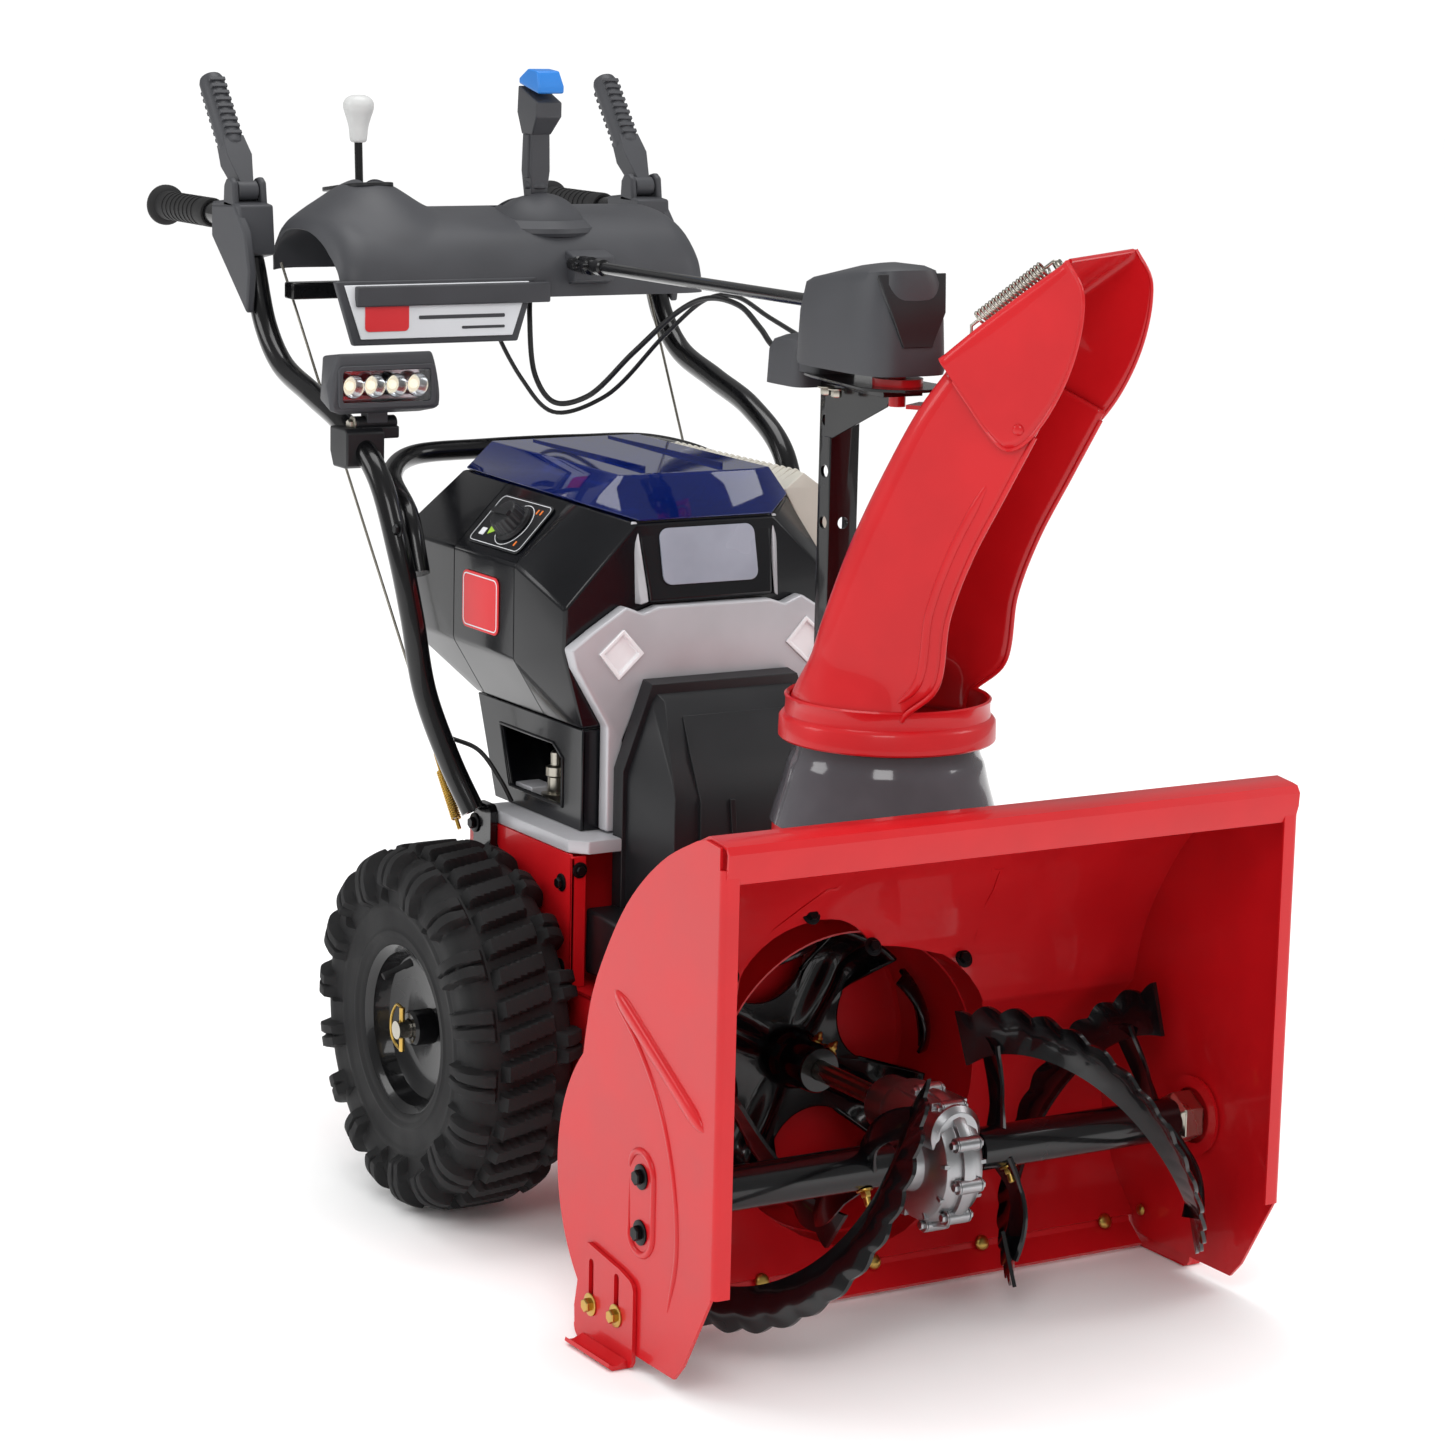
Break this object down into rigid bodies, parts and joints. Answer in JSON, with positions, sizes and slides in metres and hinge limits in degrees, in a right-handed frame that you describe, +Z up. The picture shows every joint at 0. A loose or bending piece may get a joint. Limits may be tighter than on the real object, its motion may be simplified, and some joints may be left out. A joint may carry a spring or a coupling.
{
  "type": "two stage snowblower",
  "caption": "Walk-behind two stage snowblower with a wide intake, auger and impeller, turning discharge chute, battery power head, driven wheels and stick controls.",
  "frame": {"origin": "on the ground, at the centre of the bounding box footprint", "axes": "+Z up, the intake faces -Y, the operator stands at +Y, +X is the operator's left"},
  "size_m": [0.684, 1.394, 1.152],
  "materials": {
    "red_enamel": "gloss",
    "black_enamel": "gloss",
    "black_plastic": "satin",
    "grey_plastic": "satin",
    "silver_plastic": "satin",
    "pale_plastic": "matt",
    "cast_metal": "as cast",
    "steel": "plain",
    "rubber": "matt",
    "tyre": "matt",
    "blue_clear": "clear",
    "blue_cap": "gloss"
  },
  "bodies": {
    "machine": {"auger_housing": "red_enamel", "side_plate_right": "red_enamel", "side_plate_left": "red_enamel", "scraper_bar": "red_enamel", "auger_gearbox": "cast_metal", "impeller_drum": "red_enamel", "chute_base": "black_plastic", "motor": "cast_metal", "drive_belt": "rubber", "chassis_box": "red_enamel", "motor_deck": "cast_metal", "powerhead_shroud": "black_plastic", "lower_shroud": "black_plastic", "front_fascia": "silver_plastic", "belt_cover": "black_plastic", "side_cowl": "pale_plastic", "battery_pack": "black_plastic", "chute_post": "black_enamel", "gear_cover": "grey_plastic", "handlebar_right": "black_enamel", "handlebar_left": "black_enamel", "handle_hoop": "black_enamel", "grip_right": "rubber", "grip_left": "rubber", "lever_bracket_right": "grey_plastic", "lever_bracket_left": "grey_plastic", "dash_panel": "grey_plastic", "dash_crossbar": "black_enamel", "headlight_bracket": "black_plastic", "control_cable_right": "steel", "control_cable_left": "steel", "deflector_cable": "rubber"},
    "wheels": {"axle": "steel", "tyre_right": "tyre", "tyre_left": "tyre", "rim_right": "black_enamel", "rim_left": "black_enamel"},
    "auger": {"auger_shaft": "black_enamel", "rake_right": "black_enamel", "rake_left": "black_enamel"},
    "impeller_set": {"impeller_shaft": "steel", "impeller": "black_enamel", "impeller_pulley": "steel"},
    "motor_rotor": {"motor_pulley": "steel"},
    "chute": {"chute": "red_enamel"},
    "deflector": {"deflector": "red_enamel"},
    "rod": {"chute_rod": "black_enamel"},
    "yoke": {"stick_yoke": "steel"},
    "stick": {"stick": "grey_plastic"},
    "trigger": {"stick_trigger": "blue_cap"},
    "auger_lever": {"hand_lever_right": "black_plastic"},
    "traction_lever": {"hand_lever_left": "black_plastic"},
    "shifter": {"shift_lever": "black_enamel", "shift_knob": "pale_plastic"},
    "knob": {"power_knob": "black_plastic"},
    "lid": {"battery_lid": "blue_clear"},
    "headlight": {"headlight_housing": "grey_plastic"},
    "skid_right": {"skid_right": "red_enamel"},
    "skid_left": {"skid_left": "red_enamel"}
  },
  "joints": [
    {"name": "axle_spin", "type": "hinge", "parent": "machine", "child": "wheels", "pos_m": [0, -0.026, 0.1905], "axis": [1, 0, 0], "continuous": true},
    {"name": "auger_spin", "type": "hinge", "parent": "machine", "child": "auger", "pos_m": [0, -0.561, 0.162], "axis": [1, 0, 0], "continuous": true},
    {"name": "impeller_spin", "type": "hinge", "parent": "machine", "child": "impeller_set", "pos_m": [0, -0.316, 0.195], "axis": [0, 1, 0], "continuous": true},
    {"name": "motor_spin", "type": "hinge", "parent": "machine", "child": "motor_rotor", "pos_m": [0, -0.186, 0.47], "axis": [0, 1, 0], "continuous": true},
    {"name": "chute_turn", "type": "hinge", "parent": "machine", "child": "chute", "pos_m": [0, -0.461, 0.57], "axis": [0, 0, 1], "range_deg": [-133, 67]},
    {"name": "deflector_tilt", "type": "hinge", "parent": "chute", "child": "deflector", "pos_m": [0.04303, -0.52726, 0.925], "axis": [0.8387, 0.5446, 0], "range_deg": [0, 48]},
    {"name": "rod_spin", "type": "hinge", "parent": "machine", "child": "rod", "pos_m": [0.052, 0.266, 0.944], "axis": [-0.092, -0.9956, 0.017], "range_deg": [-319.5, 161]},
    {"name": "stick_side", "type": "hinge", "parent": "machine", "child": "yoke", "pos_m": [0.05, 0.358, 0.955], "axis": [0, 1, 0], "range_deg": [-20, 10.1]},
    {"name": "stick_fore", "type": "hinge", "parent": "yoke", "child": "stick", "pos_m": [0.05, 0.358, 0.955], "axis": [1, 0, 0], "range_deg": [-19.3, 0]},
    {"name": "trigger_squeeze", "type": "hinge", "parent": "stick", "child": "trigger", "pos_m": [0.05, 0.372, 1.137], "axis": [1, 0, 0], "range_deg": [0, 6], "stiffness_Nm_per_rad": 0.4, "springref_deg": -11.46},
    {"name": "auger_lever_squeeze", "type": "hinge", "parent": "machine", "child": "auger_lever", "pos_m": [-0.25, 0.471, 1.014], "axis": [1, 0, 0], "range_deg": [-48, 0], "stiffness_Nm_per_rad": 1.2, "springref_deg": 28.65},
    {"name": "traction_lever_squeeze", "type": "hinge", "parent": "machine", "child": "traction_lever", "pos_m": [0.25, 0.471, 1.014], "axis": [1, 0, 0], "range_deg": [-48, 0], "stiffness_Nm_per_rad": 1.2, "springref_deg": 28.65},
    {"name": "shift_swing", "type": "hinge", "parent": "machine", "child": "shifter", "pos_m": [-0.138, 0.412, 0.94], "axis": [1, 0, 0], "range_deg": [-16, 16]},
    {"name": "knob_turn", "type": "hinge", "parent": "machine", "child": "knob", "pos_m": [-0.151, 0.016, 0.7006], "axis": [-0.7181, 0, 0.6959], "range_deg": [0, 60]},
    {"name": "lid_open", "type": "hinge", "parent": "machine", "child": "lid", "pos_m": [0, 0.194, 0.7345], "axis": [1, 0, 0], "range_deg": [-24, 0]},
    {"name": "headlight_tilt", "type": "hinge", "parent": "machine", "child": "headlight", "pos_m": [-0.23, 0.186, 0.795], "axis": [1, 0, 0], "range_deg": [-12, 12]},
    {"name": "skid_right_slide", "type": "slide", "parent": "machine", "child": "skid_right", "axis": [0, 0, 1], "range_m": [-0.012, 0.012]},
    {"name": "skid_left_slide", "type": "slide", "parent": "machine", "child": "skid_left", "axis": [0, 0, 1], "range_m": [-0.012, 0.012]}
  ],
  "couplings": [
    {"joint": "impeller_spin", "follows": "auger_spin", "ratio": 10},
    {"joint": "motor_spin", "follows": "auger_spin", "ratio": 36},
    {"joint": "rod_spin", "follows": "chute_turn", "ratio": 2.4},
    {"joint": "stick_side", "follows": "chute_turn", "ratio": 0.15},
    {"joint": "stick_fore", "follows": "deflector_tilt", "ratio": -0.4}
  ]
}
